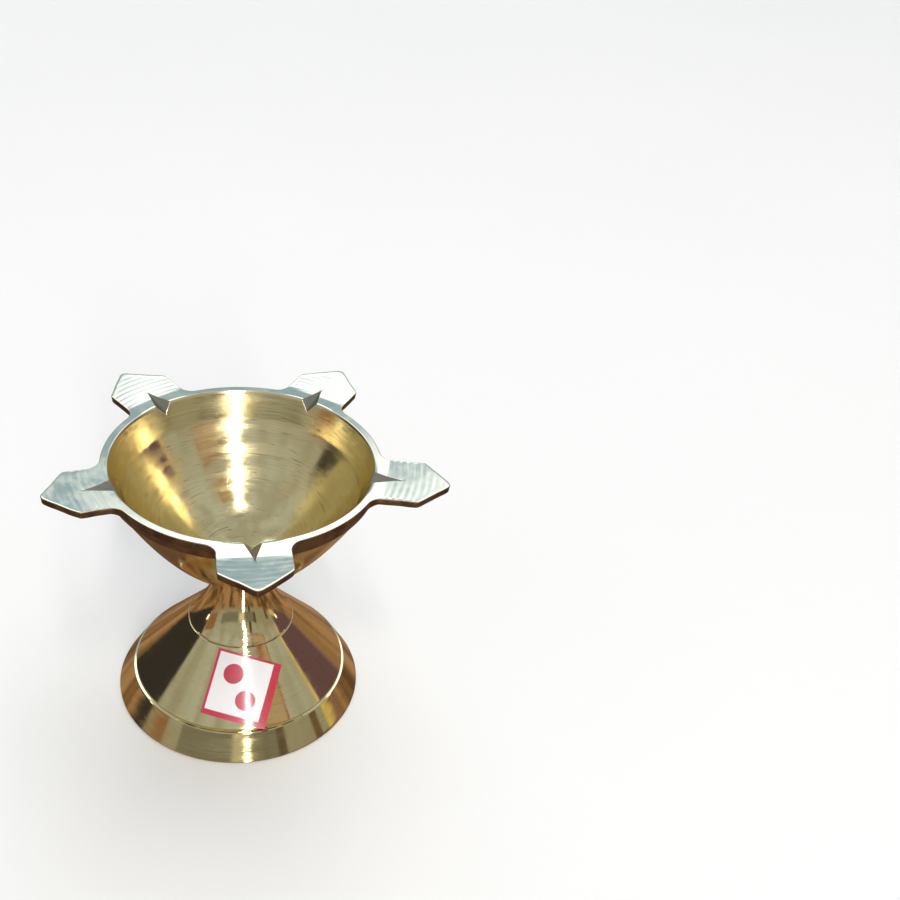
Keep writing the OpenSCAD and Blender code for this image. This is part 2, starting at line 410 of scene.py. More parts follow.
def top_rings(plan, steps=34):
    """The faced top, from the rim's inner edge to the outline. Returns its rings and the edge."""
    inner_round, chatter_pitch, chatter_from = 0.12, 1.3, RIM_OUT_R + 0.6
    ex, ey, ez = rim_edge(plan)
    inset = plan.to_leaf(plan.outline - plan.normal * EDGE_ROUND)
    length = np.hypot(inset[:, 0] - ex, inset[:, 1] - ey)
    t0 = inner_round / length
    local = plan.azimuth - plan.axis
    start_x = np.where(plan.rank == 0, ex, RIM_IN_R * np.cos(local))
    start_y = RIM_IN_R * np.sin(local) * (plan.rank != 0)
    waver = 2.5 * ripple(0.0, plan.azimuth, 1, 3.0)
    rings = []
    for j in range(steps + 1):
        t = t0 + (1 - t0) * j / steps
        x = start_x + (inset[:, 0] - start_x) * t
        y = follow_groove(plan, x, start_y + (inset[:, 1] - start_y) * t)
        z = np.minimum(plate_z(x, plan.crease), groove_z(x, y, plan.crease))
        xy = plan.to_row(np.stack([x, y], 1))
        r = np.hypot(x, y)
        facing = np.sin(2 * math.pi * r / chatter_pitch + waver)
        on_plate = z > plate_z(x, plan.crease) - 0.01
        fade = ease((r - chatter_from) / 1.5) * on_plate * ease((1 - t) * 6)
        z = z - plan.chatter * (1 + facing) * fade
        rings.append(np.column_stack([xy, z]))
    edge = np.column_stack([plan.to_row(np.stack([ex, ey], 1)), ez])
    return rings, edge


def leaf_bottom_z(plan, xy):
    x = plan.to_leaf(xy)[:, 0]
    return plate_z(x, plan.crease) - LEAF_T


def well_rings(skin, plan, edge, top):
    """The well, from the rim's inner edge down to its middle. Returns the ring it starts from."""
    edge_round, wall_steps, evened = 0.14, 13, 0.8
    line_z = RIM_Z - WELL_LINE_DEPTH
    line_r = wall_r(line_z)
    start_z = edge[:, 2] - edge_round
    start_a = np.arctan2(edge[:, 1], edge[:, 0])
    start_a += 2 * math.pi * np.round((plan.azimuth - start_a) / (2 * math.pi))
    wall_top = turned(wall_r(start_z), start_z, start_a)
    worn_edge = 0.3 * edge + 0.35 * (top + wall_top)
    ids = [skin.ring(top, 0.6), skin.ring(worn_edge, 1.0), skin.ring(wall_top, 0.5)]
    skin.join(ids[0], ids[1], FACED)
    skin.join(ids[1], ids[2], TURNED_IN)
    last = ids[2]
    for j in range(1, wall_steps + 1):
        t = j / wall_steps
        z = start_z + (line_z - start_z) * t
        azimuth = start_a + (plan.turned_azimuth(t * evened) - start_a) * float(ease(t * 1.6))
        r = wall_r(z) + 0.002 * ripple(z, azimuth, 1.1, 7.0) * ease(t * 4)
        ring = skin.ring(turned(r, z, azimuth))
        skin.join(last, ring, TURNED_IN)
        last = ring
    bowing = (line_z - WELL_FLOOR_Z) / line_r ** 2
    spokes = SPOKES
    radii = np.concatenate([[line_r - 0.25], np.linspace(line_r - 0.7, 0.7, 42)])
    halve_at = [line_r, 9.0, 3.0]
    for r in radii:
        t = evened + (1 - evened) * (line_r - r) / line_r
        if halve_at and r < halve_at[0]:
            halve_at.pop(0)
            spokes //= 2
        azimuth = plan.turned_azimuth(t)[:: SPOKES // spokes]
        s = line_z - r  # falls steadily along the floor, so the ripples keep their pitch
        turned_rings = 0.004 * ripple(s, azimuth, 1.4, 11.0) + 0.006 * ripple(s, azimuth, 6.0, 2.0)
        ring = skin.ring(turned(r, WELL_FLOOR_Z + bowing * r * r + turned_rings, azimuth))
        skin.join(last, ring, TURNED_IN)
        last = ring
    skin.cap(last, (0, 0, WELL_FLOOR_Z), TURNED_IN)
    return ids[0]


def outer_edge_rings(skin, plan, last):
    """Round top edge, cast side and round lower edge of the leaves and rim."""
    draft = 0.10 * plan.leaf
    low_round = 0.05 + 0.30 * plan.leaf
    for degrees in (30, 60, 90):
        a = math.radians(degrees)
        xy = plan.outline - plan.normal * EDGE_ROUND * (1 - math.sin(a))
        z = plate_z(plan.to_leaf(xy)[:, 0], plan.crease) - EDGE_ROUND * (1 - math.cos(a))
        ring = skin.ring(np.column_stack([xy, z]), 1.0 if degrees < 60 else 0.0)
        skin.join(last, ring, FACED if degrees < 60 else CAST_AND_SHADE)
        last = ring
    for share in (0.35, 0.7, 1.0):
        back = draft * share
        xy = plan.outline - plan.normal * back[:, None]
        high = plate_z(plan.to_leaf(xy)[:, 0], plan.crease) - EDGE_ROUND
        low = leaf_bottom_z(plan, xy) + low_round
        lumps = 0.05 * np.array([noise.noise(Vector((x / 1.2, y / 1.2, share * 3))) for x, y in xy])
        xy = xy - plan.normal * (np.abs(lumps) * plan.leaf)[:, None]
        ring = skin.ring(np.column_stack([xy, high + (low - high) * share]))
        skin.join(last, ring, CAST_AND_SHADE)
        last = ring
    for degrees in (30, 60, 90):
        a = math.radians(degrees)
        back = draft + low_round * (1 - math.cos(a))
        xy = plan.outline - plan.normal * back[:, None]
        z = leaf_bottom_z(plan, xy) + low_round * (1 - math.sin(a))
        ring = skin.ring(np.column_stack([xy, z]), 0.35)
        skin.join(last, ring, CAST_AND_SHADE)
        last = ring
    return last, xy


def band_r(z):
    """Radius of the cast band under the rim."""
    low_z, low_r = RIM_Z - BAND_H + 0.2, WALL_TOP_R + 0.45
    high_z, high_r = RIM_Z - LEAF_T, RIM_OUT_R - 0.1
    return low_r + (high_r - low_r) * (z - low_z) / (high_z - low_z)


def underside_rings(skin, plan, last, start_xy, steps=14):
    """Undersides of the leaves, which run into the band with a soft fillet."""
    fillet_drop, fillet_w = 0.9, 0.55
    end_z = RIM_Z - LEAF_T - fillet_drop
    end_r = band_r(end_z)
    start_r = np.linalg.norm(start_xy, axis=1)
    azimuth = np.arctan2(start_xy[:, 1], start_xy[:, 0])
    for j in range(1, steps + 1):
        r = end_r + (start_r - end_r) * (1 - j / steps) ** 1.5
        fall = np.exp(-(r - end_r) / fillet_w) - np.exp(-(start_r - end_r) / fillet_w)
        fall /= 1 - np.exp(-(start_r - end_r) / fillet_w)
        xy = np.stack([r * np.cos(azimuth), r * np.sin(azimuth)], 1)
        flat = leaf_bottom_z(plan, xy)
        sand = np.array([noise.noise(Vector((x / 1.3, y / 1.3, 1.7))) for x, y in xy])
        z = flat + (end_z - flat) * fall - 0.02 * (1 + sand) * plan.leaf
        ring = skin.ring(np.column_stack([xy, z]))
        skin.join(last, ring, CAST_AND_SHADE)
        last = ring
    return last, end_z


def bowl_profile(start_z):
    """Band, step and outside wall down to the joint, as (r, z)."""
    band_z = RIM_Z - BAND_H
    step = [
        (band_r(start_z), start_z, 0),
        (WALL_TOP_R + 0.45, band_z + 0.2, 0.12),
        (WALL_TOP_R + 0.02, band_z + 0.02, 0.1),
    ]
    rise = (band_z - JOINT_Z) / (WALL_TOP_R ** 2 - JOINT_R ** 2)
    wall = [(r, JOINT_Z + rise * (r * r - JOINT_R ** 2), 0)
            for r in np.linspace(WALL_TOP_R - 0.25, JOINT_R + 0.35, 30)]
    seat = [
        (JOINT_R + 0.12, JOINT_Z + 0.12, 0),
        (JOINT_R - 0.1, JOINT_Z, 0),
        (SPIGOT_R + 0.1, JOINT_Z, 0),
    ]
    return round_path(step + wall + seat, 0.75)


def thread_wave(z, azimuth):
    """From 0 at a thread's crest to 1 at its root."""
    return 0.5 - 0.5 * np.cos(2 * math.pi * z / THREAD_PITCH - azimuth)


def outside_rings(skin, plan, last, start_z):
    """The band, the outside wall, the joint's face and the threaded spigot."""
    path = bowl_profile(start_z)
    length, normal = path_lengths(path), path_normals(path)
    band_end = RIM_Z - BAND_H + 0.1
    spokes, evened_by = SPOKES, 12  # mm along the profile
    for (r, z), s, n in list(zip(path, length, normal))[1:]:
        t = min(1.0, s / evened_by)
        if spokes == SPOKES and z < band_end - 1:  # fewer spokes where the bowl is narrower
            spokes //= 2
        if spokes == SPOKES // 2 and r < 12:
            spokes //= 2
        azimuth = plan.turned_azimuth(t)[:: SPOKES // spokes]
        rough = z > band_end
        size, depth = (1.5, 0.03) if rough else (1.4, 0.008)
        wave = depth * (ripple(s, azimuth * (4 if rough else 1), size, 5.0) - 1)
        broad = 0.012 * (ripple(s, azimuth, 9.0, 1.0) - 1) * (r > JOINT_R + 0.5)
        off = (wave + broad) * (1 if r > JOINT_R else 0)
        out = np.sign(n[0]) if abs(n[0]) > 1e-6 else 1
        ring = skin.ring(turned(r + off * n[0] * out, z + off * n[1] * out, azimuth))
        skin.join(last, ring, CAST_AND_SHADE if rough else TURNED_OUT)
        last = ring
    chamfer = 0.5
    for z in np.linspace(JOINT_Z, SPIGOT_END_Z + chamfer, 57):
        fade = float(ease((JOINT_Z - z) / 1.0) * ease((z - SPIGOT_END_Z - chamfer) / 0.8))
        r = SPIGOT_R - THREAD_DEPTH * fade * thread_wave(z, azimuth)
        ring = skin.ring(turned(r, z, azimuth))
        skin.join(last, ring, THREAD)
        last = ring
    end = skin.ring(turned(SPIGOT_R - chamfer, SPIGOT_END_Z, azimuth))
    skin.join(last, end, THREAD)
    skin.cap(end, (0, 0, SPIGOT_END_Z), THREAD)


def bowl_finish(centres, finish):
    """Facets of the grooves get the filed finish, darkened with painted shade; every other face keeps
    the finish of its ring.
    """
    angles = np.arctan2(centres[:, 1], centres[:, 0])
    reach = np.hypot(centres[:, 0], centres[:, 1])
    best, crease = np.full(len(centres), -np.inf), np.zeros(len(centres))
    for turn, leaf_crease in zip(LEAF_TURNS, LEAF_CREASE_X):
        out = np.cos(angles - math.radians(turn)) * reach
        crease = np.where(out > best, leaf_crease, crease)
        best = np.maximum(best, out)
    below = centres[:, 2] < plate_z(best, crease) - 0.04
    return np.where((finish == FACED) & below & (best < GROOVE_END_X), FILED_AND_SHADE, finish)


def make_bowl(finishes):
    plan = Plan()
    skin = Skin()
    rings, edge = top_rings(plan)
    first = well_rings(skin, plan, edge, rings[0])
    skin.faces = [f[::-1] for f in skin.faces]  # the well is joined inwards, the rest outwards
    last = first
    for j, points in enumerate(rings[1:], 1):
        ring = skin.ring(points, 0.5 if j == len(rings) - 1 else 0.0)
        skin.join(last, ring, FACED)
        last = ring
    last, xy = outer_edge_rings(skin, plan, last)
    last, z = underside_rings(skin, plan, last, xy)
    outside_rings(skin, plan, last, z)
    return skin.build("brass_bowl", finishes, bowl_finish)


# ---------------------------------------------------------------- foot

CONE_SLOPE = math.atan2(RING_Z - RIDGE_Z, RIDGE_R - RING_R)
CONE_LEN = math.hypot(RIDGE_R - RING_R, RING_Z - RIDGE_Z)
FOOT_OUT, FOOT_IN, FOOT_THREAD = range(3)


def up_cone(d, out=0.0):
    """(r, z) at distance d up the foot's cone from the ridge, and out from its surface."""
    c, s = math.cos(CONE_SLOPE), math.sin(CONE_SLOPE)
    return RIDGE_R - d * c + out * s, RIDGE_Z + d * s + out * c


def neck_path():
    """One arc from the cone up to the joint."""
    turn = math.pi / 2 - CONE_SLOPE
    radius = (RING_R - NECK_R) / (1 - math.cos(turn))
    top_z = RING_Z + radius * math.sin(turn)
    heights = np.linspace(RING_Z, JOINT_Z - 0.15, 26)
    return [(NECK_R + radius * (1 - math.cos(math.asin((top_z - z) / radius))), z, 0) for z in heights]


def foot_outside_path():
    """From the joint's face down the neck and cone, over the ridge, to under the base."""
    scribe_w, scribe_depth = 0.22, 0.07
    ridge_step, ledge_w = 0.7, 0.5
    neck = neck_path()[::-1]
    scribe = [
        (*up_cone(CONE_LEN - scribe_w / 2, -scribe_depth), 0),
        (*up_cone(CONE_LEN - scribe_w), 0),
    ]
    cone = [(*up_cone(d), 0) for d in np.linspace(CONE_LEN - scribe_w - 0.2, ridge_step + 0.1, 30)]
    ridge = [
        (*up_cone(ridge_step), 0),
        (RIDGE_R - ledge_w, RIDGE_Z + 0.05, 0.04),
        (RIDGE_R, RIDGE_Z, 0.05),
        (RIDGE_R + 0.15, RIDGE_Z - 0.25, 0.1),
    ]
    base = [(FOOT_R, 0.35, 0.25), (FOOT_R - 0.3, 0.0, 0.2), (FOOT_R - FOOT_WALL / 2, 0.0, 0)]
    top = [(BORE_R + 0.3, JOINT_Z, 0), (neck[0][0] - 0.15, JOINT_Z, 0)]
    return round_path(top + neck + scribe + cone + ridge + base, 0.6)


def foot_inside_path():
    """From under the base, up the hollow to its roof and in to the bore."""
    across = FOOT_WALL / math.sin(CONE_SLOPE)
    return round_path([
        (FOOT_R - FOOT_WALL / 2, 0.0, 0),
        (FOOT_R - FOOT_WALL, 0.0, 0.2),
        (RIDGE_R - across, RIDGE_Z, 1.0),
        (RING_R - across, RING_Z, 3.0),
        (ROOF_R, ROOF_Z, 0.3),
        (BORE_R + 0.3, ROOF_Z, 0),
    ], 0.8)


def make_foot(finishes):
    """One closed skin: the outside, the cast hollow inside it, and the tapped bore."""
    spokes, coarse_within = 384, 9
    thread_in, thread_depth = 0.3, 0.35  # thread_in is from the bore's ends to its thread
    skin = Skin()
    path = foot_outside_path()
    length, normal = path_lengths(path), path_normals(path)
    outside = []
    for (r, z), s, n in zip(path, length, normal):
        count = spokes if r > coarse_within else spokes // 2
        azimuth = 2 * math.pi * np.arange(count) / count
        plain = JOINT_Z - 0.5 > z > 0.5 and math.hypot(r - RIDGE_R, z - RIDGE_Z) > 0.6
        fine, broad = ripple(s, azimuth, 1.3, 3.0) - 1, ripple(s, azimuth, 8.0, 6.0) - 1
        off = (0.006 * fine + 0.012 * broad) * plain
        side = 1 if n[0] >= 0 else -1
        # A painted highlight: the colour is lightened in a thin ring along the ridge, through the same
        # attribute as the bowl's edge wear
        ridge_highlight = math.exp(-(math.hypot(r - RIDGE_R + 0.1, z - RIDGE_Z) / 0.22) ** 2)
        points = turned(r + off * n[0] * side, z + off * n[1] * side, azimuth)
        outside.append(skin.ring(points, ridge_highlight))
    for a, b in zip(outside, outside[1:]):
        skin.join(a, b, FOOT_OUT)
    last = outside[-1]
    path = foot_inside_path()
    length = path_lengths(path)
    for (r, z), s in list(zip(path, length))[1:]:
        count = spokes if r > coarse_within else spokes // 2
        azimuth = 2 * math.pi * np.arange(count) / count
        cast = 0.04 * ripple(s, azimuth * 3, 1.8, 8.0) * (0.3 < z < ROOF_Z - 0.2)
        ring = skin.ring(turned(r + cast, z, azimuth))
        skin.join(last, ring, FOOT_IN)
        last = ring
    for z in np.linspace(ROOF_Z + thread_in, JOINT_Z - thread_in, 58):
        fade = float(ease((z - ROOF_Z - thread_in) / 0.8) * ease((JOINT_Z - thread_in - z) / 0.8))
        r = BORE_R + thread_depth * fade * (1 - thread_wave(z, azimuth))
        ring = skin.ring(turned(r, z, azimuth))
        skin.join(last, ring, FOOT_THREAD)
        last = ring
    skin.join(last, outside[0], FOOT_THREAD)
    return skin.build("brass_foot", finishes)


# ---------------------------------------------------------------- label


def make_label(finish):
    """Square sticker wrapped round the foot's cone. Its UV map is the flat label, 0 to 1."""
    cells = 56
    apex = RIDGE_R / math.cos(CONE_SLOPE) - LABEL_UP
    u, v = np.meshgrid(np.linspace(-0.5, 0.5, cells + 1), np.linspace(-0.5, 0.5, cells + 1))
    u, v = u.ravel(), v.ravel()
    c, s = math.cos(LABEL_TURN), math.sin(LABEL_TURN)
    across, up = LABEL_W * (u * c - v * s), LABEL_W * (u * s + v * c)
    slant = np.hypot(across, apex - up)
    azimuth = LABEL_AZIMUTH + np.arctan2(across, apex - up) / math.cos(CONE_SLOPE)
    corner = np.clip(4 * np.abs(u * v), 0, 1)
    lift = 0.10 * corner ** 6
    glue = 0.005
    creases = 0.012 * np.array([noise.noise(Vector((a / 3.0, b / 3.0, 0))) for a, b in zip(across, up)])
    points = []
    for height in (LABEL_T + lift + creases, lift + glue):
        d = RIDGE_R / math.cos(CONE_SLOPE) - slant
        r = RIDGE_R - d * math.cos(CONE_SLOPE) + height * math.sin(CONE_SLOPE)
        z = RIDGE_Z + d * math.sin(CONE_SLOPE) + height * math.cos(CONE_SLOPE)
        points.append(np.stack([r * np.cos(azimuth), r * np.sin(azimuth), z], 1))
    n = cells + 1
    grid = np.arange(n * n).reshape(n, n)
    below = grid + n * n
    faces = []
    for i in range(cells):
        for j in range(cells):
            a, b, e, f = grid[i, j], grid[i, j + 1], grid[i + 1, j + 1], grid[i + 1, j]
            faces.append([a, b, e, f])
            a, b, e, f = below[i, j], below[i, j + 1], below[i + 1, j + 1], below[i + 1, j]
            faces.append([f, e, b, a])
    border = [*grid[0, :-1], *grid[:-1, -1], *grid[-1, :0:-1], *grid[:0:-1, 0]]
    for a, b in zip(border, border[1:] + border[:1]):
        faces.append([b, a, a + n * n, b + n * n])
    mesh = bpy.data.meshes.new("paper_label")
    mesh.from_pydata((np.concatenate(points) * MM).tolist(), [], [[int(i) for i in f] for f in faces])
    flat = np.tile(np.stack([u + 0.5, v + 0.5], 1), (2, 1))
    loops = np.zeros(len(mesh.loops), np.int32)
    mesh.loops.foreach_get("vertex_index", loops)
    mesh.uv_layers.new(name="flat").data.foreach_set("uv", flat[loops].ravel())
    mesh.polygons.foreach_set("use_smooth", np.ones(len(faces), bool))
    mesh.set_sharp_from_angle(angle=math.radians(40))
    mesh.materials.append(finish)
    return place_object("paper_label", mesh)


# ---------------------------------------------------------------- materials


class Graph:
    """Short ways to add and join shader nodes."""

    def __init__(self, tree):
        self.tree = tree
        tree.nodes.clear()

    def feed(self, socket, value):
        if isinstance(value, bpy.types.NodeSocket):
            self.tree.links.new(value, socket)
        else:
            socket.default_value = value

    def node(self, kind, inputs=None, **settings):
        made = self.tree.nodes.new(kind)
        for key, value in settings.items():
            setattr(made, key, value)
        for key, value in (inputs or {}).items():
            self.feed(made.inputs[key], value)
        return made

    def math(self, operation, a, b=0.0, clamp=False):
        made = self.node("ShaderNodeMath", operation=operation, use_clamp=clamp)
        self.feed(made.inputs[0], a)
        self.feed(made.inputs[1], b)
        return made.outputs[0]

    def span(self, value, low, high, to_low=0.0, to_high=1.0):
        """value's place between low and high, smoothed, from to_low to to_high."""
        made = self.node(
            "ShaderNodeMapRange",
            {"Value": value, "From Min": low, "From Max": high, "To Min": to_low, "To Max": to_high},
            interpolation_type="SMOOTHSTEP",
        )
        return made.outputs[0]

    def mix(self, factor, a, b):
        made = self.node("ShaderNodeMix", data_type="RGBA")
        self.feed(made.inputs[0], factor)
        self.feed(made.inputs[6], a)
        self.feed(made.inputs[7], b)
        return made.outputs[2]

    def noise(self, vector, scale=1.0, detail=2.0, roughness=0.5):
        made = self.node(
            "ShaderNodeTexNoise",
            {"Vector": vector, "Scale": scale, "Detail": detail, "Roughness": roughness},
        )
        return made.outputs["Fac"]

    def vector(self, x, y, z):
        return self.node("ShaderNodeCombineXYZ", {"X": x, "Y": y, "Z": z}).outputs[0]

    def length(self, x, y):
        squares = self.math("ADD", self.math("MULTIPLY", x, x), self.math("MULTIPLY", y, y))
        return self.math("SQRT", squares)


def rgb(r, g, b):
    return (r, g, b, 1.0)


class Turned:
    """Texture coordinates of a surface of revolution, in mm: q runs along its profile."""

    def __init__(self, g, z_share):
        self.g = g
        place = g.node("ShaderNodeTexCoord").outputs["Object"]
        scaled = g.node("ShaderNodeVectorMath", operation="SCALE")
        g.feed(scaled.inputs[0], place)
        scaled.inputs["Scale"].default_value = 1 / MM
        self.mm = scaled.outputs[0]
        parts = g.node("ShaderNodeSeparateXYZ", {"Vector": self.mm})
        x, y, z = parts.outputs
        self.r = g.length(x, y)
        safe = g.math("MAXIMUM", self.r, 0.01)
        self.cos, self.sin = g.math("DIVIDE", x, safe), g.math("DIVIDE", y, safe)
        self.q = g.math("ADD", self.r, g.math("MULTIPLY", z, z_share))

    def rings(self, pitch, around, detail=2.0):
        """Noise in rings pitch mm apart that changes `around` times on the way round."""
        g = self.g
        along = g.math("DIVIDE", self.q, pitch)
        c, s = g.math("MULTIPLY", self.cos, around), g.math("MULTIPLY", self.sin, around)
        return g.noise(g.vector(along, c, s), 1.0, detail)


def finish_shader(g, values, height, distance, anisotropic=0.0):
    """A metal or paper shader, with bump from height, where 1 is `distance` mm."""
    shader = g.node("ShaderNodeBsdfPrincipled", values)
    bump = g.node("ShaderNodeBump", {"Height": height, "Distance": distance * MM, "Strength": 1.0})
    g.feed(shader.inputs["Normal"], bump.outputs[0])
    if anisotropic:
        shader.inputs["Anisotropic"].default_value = anisotropic
        tangent = g.node("ShaderNodeTangent", direction_type="RADIAL", axis="Z")
        g.feed(shader.inputs["Tangent"], tangent.outputs[0])
    out = g.node("ShaderNodeOutputMaterial")
    g.tree.links.new(shader.outputs[0], out.inputs["Surface"])


def new_material(name):
    material = bpy.data.materials.new(name)
    material.use_nodes = True
    return material, Graph(material.node_tree)


BRASS = rgb(0.82, 0.71, 0.40)
BRASS_PALE = rgb(0.86, 0.75, 0.49)
BRASS_DEEP = rgb(0.66, 0.45, 0.17)
TARNISH = rgb(0.34, 0.22, 0.11)


def contour(g, field, width):
    """Thin wandering lines along the middle value of a noise field, 1 on a line."""
    away = g.math("ABSOLUTE", g.math("SUBTRACT", field, 0.5))
    return g.span(away, width, 0.0)


def turned_brass(name, z_share, line_depth, blur, lines=0.3, tarnish=0.25, matte_beyond=99.0,
                 swirl=0.55):
    """Polished brass with the lathe tool's fine rings, duller beyond a radius in mm. z_share is 1
    where the profile rises outwards and -1 where it falls."""
    material, g = new_material(name)
    t = Turned(g, z_share)
    fine, coarse = t.rings(0.45, 5.0), t.rings(1.3, 1.6)
    groups = g.span(t.rings(3.5, 1.0), 0.42, 0.62)
    stretched = g.node("ShaderNodeMapping", {"Vector": t.mm, "Scale": (0.25, 0.9, 0.4)})
    marks = contour(g, g.noise(stretched.outputs[0], 1.0, 1.0), 0.006)
    stains = g.span(g.noise(t.mm, 0.16, 4.0, 0.6), 0.48, 0.72)
    specks = g.span(g.noise(t.mm, 1.6, 2.0), 0.66, 0.76)
    wear_and_sheen = g.node("ShaderNodeAttribute", attribute_name="wear_and_sheen").outputs["Fac"]
    colour = g.mix(g.math("MULTIPLY", stains, tarnish), BRASS, BRASS_DEEP)
    colour = g.mix(g.math("MULTIPLY", specks, tarnish), colour, TARNISH)
    grooves = contour(g, t.rings(0.9, 1.1, 1.0), 0.024)
    grooves = g.math("MULTIPLY", grooves, g.math("ADD", 0.35, groups))
    colour = g.mix(g.math("MULTIPLY", grooves, lines, clamp=True), colour, TARNISH)
    # Lighter by that weight: worn edges on the bowl, a painted highlight on the foot's ridge
    colour = g.mix(wear_and_sheen, colour, BRASS_PALE)
    rough = g.math("ADD", blur, g.math("MULTIPLY", groups, 0.8 * blur))
    dull = g.span(t.r, matte_beyond - 0.1, matte_beyond + 0.1)
    rough = g.math("ADD", rough, g.math("MULTIPLY", dull, 0.04))
    rough = g.math("ADD", rough, g.math("MULTIPLY", g.math("SUBTRACT", fine, 0.5), blur))
    smears = g.math("MULTIPLY", g.math("MAXIMUM", stains, marks), 0.6 * blur)
    rough = g.math("ADD", rough, smears, clamp=True)
    ridged = g.math("MAXIMUM", groups, g.math("MULTIPLY", dull, 2.4))
    height = g.math("MULTIPLY", fine, g.math("ADD", 0.25, g.math("MULTIPLY", ridged, 0.75)))
    height = g.math("ADD", height, g.math("MULTIPLY", coarse, 0.3))
    height = g.math("SUBTRACT", height, g.math("MULTIPLY", g.math("MAXIMUM", marks, grooves), 0.3))
    values = {"Base Color": colour, "Metallic": 1.0, "Roughness": rough}
    finish_shader(g, values, height, line_depth, anisotropic=swirl)
    return material


def faced_brass(name):
    """The rim and leaf tops: faced flat in the lathe, so arcs round the axis, with chatter."""
    material, g = new_material(name)
    t = Turned(g, 0.0)
    fine, chatter = t.rings(0.2, 14.0, 3.0), t.rings(0.7, 6.0)
    patches = g.span(g.noise(t.mm, 0.22, 3.0), 0.4, 0.65)
    wear_and_sheen = g.node("ShaderNodeAttribute", attribute_name="wear_and_sheen").outputs["Fac"]
    colour = g.mix(patches, rgb(0.76, 0.72, 0.57), rgb(0.82, 0.76, 0.58))
    colour = g.mix(g.math("MULTIPLY", wear_and_sheen, 0.7), colour, BRASS_PALE)
    rough = g.math("ADD", 0.09, g.math("MULTIPLY", patches, 0.06))
    rough = g.math("ADD", rough, g.math("MULTIPLY", g.math("SUBTRACT", chatter, 0.5), 0.12), clamp=True)
    height = g.math("ADD", g.math("MULTIPLY", fine, 0.4), chatter)
    values = {"Base Color": colour, "Metallic": 1.0, "Roughness": rough}
    finish_shader(g, values, height, 0.0035, anisotropic=0.5)
    return material


def cast_brass(name, colour_a, colour_b, wear):
    """As-cast skin: sandy, in the colours given, and bright where it has rubbed. The bowl's very dark
    colours are partly the skin's own and partly painted shade under the rim and leaves.
    """
    material, g = new_material(name)
    t = Turned(g, 0.0)
    sand = g.noise(t.mm, 2.6, 5.0, 0.65)
    pits = g.span(g.noise(t.mm, 1.1, 3.0), 0.62, 0.72)
    cloud = g.noise(t.mm, 0.28, 3.0)
    wear_and_sheen = g.node("ShaderNodeAttribute", attribute_name="wear_and_sheen").outputs["Fac"]
    uneven_wear = g.math("ADD", wear_and_sheen, g.math("MULTIPLY", sand, 0.6))
    rubbed = g.math("MULTIPLY", g.span(uneven_wear, 0.75, 1.15), wear)
    colour = g.mix(g.span(cloud, 0.35, 0.65), colour_a, colour_b)
    colour = g.mix(g.math("MULTIPLY", pits, 0.6), colour, rgb(0.03, 0.02, 0.015))
    colour = g.mix(rubbed, colour, BRASS)
    rough = g.math("ADD", 0.34, g.math("MULTIPLY", sand, 0.2))
    rough = g.math("SUBTRACT", rough, g.math("MULTIPLY", rubbed, 0.2), clamp=True)
    height = g.math("SUBTRACT", sand, g.math("MULTIPLY", pits, 0.5))
    values = {"Base Color": colour, "Metallic": 0.85, "Roughness": rough}
    finish_shader(g, values, height, 0.05)
    return material


def filed_and_shaded_brass(name):
    """Facets of the wick grooves, with file marks along them, in dark greys that are painted shade in
    the grooves.
    """
    material, g = new_material(name)
    t = Turned(g, 0.0)
    across, along = 60.0, 0.3
    c, s = g.math("MULTIPLY", t.cos, across), g.math("MULTIPLY", t.sin, across)
    strokes = g.noise(g.vector(c, s, g.math("MULTIPLY", t.r, along)), 1.0, 3.0)
    # Both greys are far darker than filed brass: painted shade in the V grooves, with the file strokes
    # across it
    colour = g.mix(strokes, rgb(0.25, 0.24, 0.20), rgb(0.50, 0.48, 0.40))
    rough = g.math("ADD", 0.2, g.math("MULTIPLY", strokes, 0.2))
    values = {"Base Color": colour, "Metallic": 1.0, "Roughness": rough}
    finish_shader(g, values, strokes, 0.01)
    return material


def label_print(name):
    """Glossy white sticker with a crimson frame and two plain round dots."""
    material, g = new_material(name)
    place = g.node("ShaderNodeUVMap", uv_map="flat").outputs[0]
    parts = g.node("ShaderNodeSeparateXYZ", {"Vector": place})
    u, v = parts.outputs[0], parts.outputs[1]
    fuzz = g.math("MULTIPLY", g.math("SUBTRACT", g.noise(place, 60.0, 2.0), 0.5), 0.006)
    u, v = g.math("ADD", u, fuzz), g.math("ADD", v, fuzz)
    crisp = 0.006
    left, right, low, high = 0.042, 0.878, 0.082, 0.962  # inside of the frame, printed off centre
    inside = g.span(u, left - crisp, left + crisp)
    for place_in, edge, blur in ((u, right, -crisp), (v, low, crisp), (v, high, -crisp)):
        inside = g.math("MULTIPLY", inside, g.span(place_in, edge - blur, edge + blur))
    ink = g.math("SUBTRACT", 1.0, inside)
    dot_r = 0.15
    for cu, cv in ((0.32, 0.68), (0.60, 0.34)):
        away = g.length(g.math("SUBTRACT", u, cu), g.math("SUBTRACT", v, cv))
        ink = g.math("MAXIMUM", ink, g.span(away, dot_r + crisp, dot_r - crisp))
    tone = g.noise(place, 3.0, 2.0)
    crimson = g.mix(g.span(tone, 0.35, 0.7), rgb(0.52, 0.003, 0.035), rgb(0.62, 0.008, 0.06))
    paper = g.mix(g.noise(place, 5.0, 3.0), rgb(0.93, 0.92, 0.94), rgb(0.89, 0.88, 0.90))
    colour = g.mix(ink, paper, crimson)
    values = {
        "Base Color": colour,
        "Roughness": g.math("ADD", 0.38, g.math("MULTIPLY", tone, 0.1)),
        "Coat Weight": 1.0,
        "Coat Roughness": 0.15,
        "Coat IOR": 1.7,
    }
    finish_shader(g, values, g.noise(place, 40.0, 3.0), 0.004)
    return material


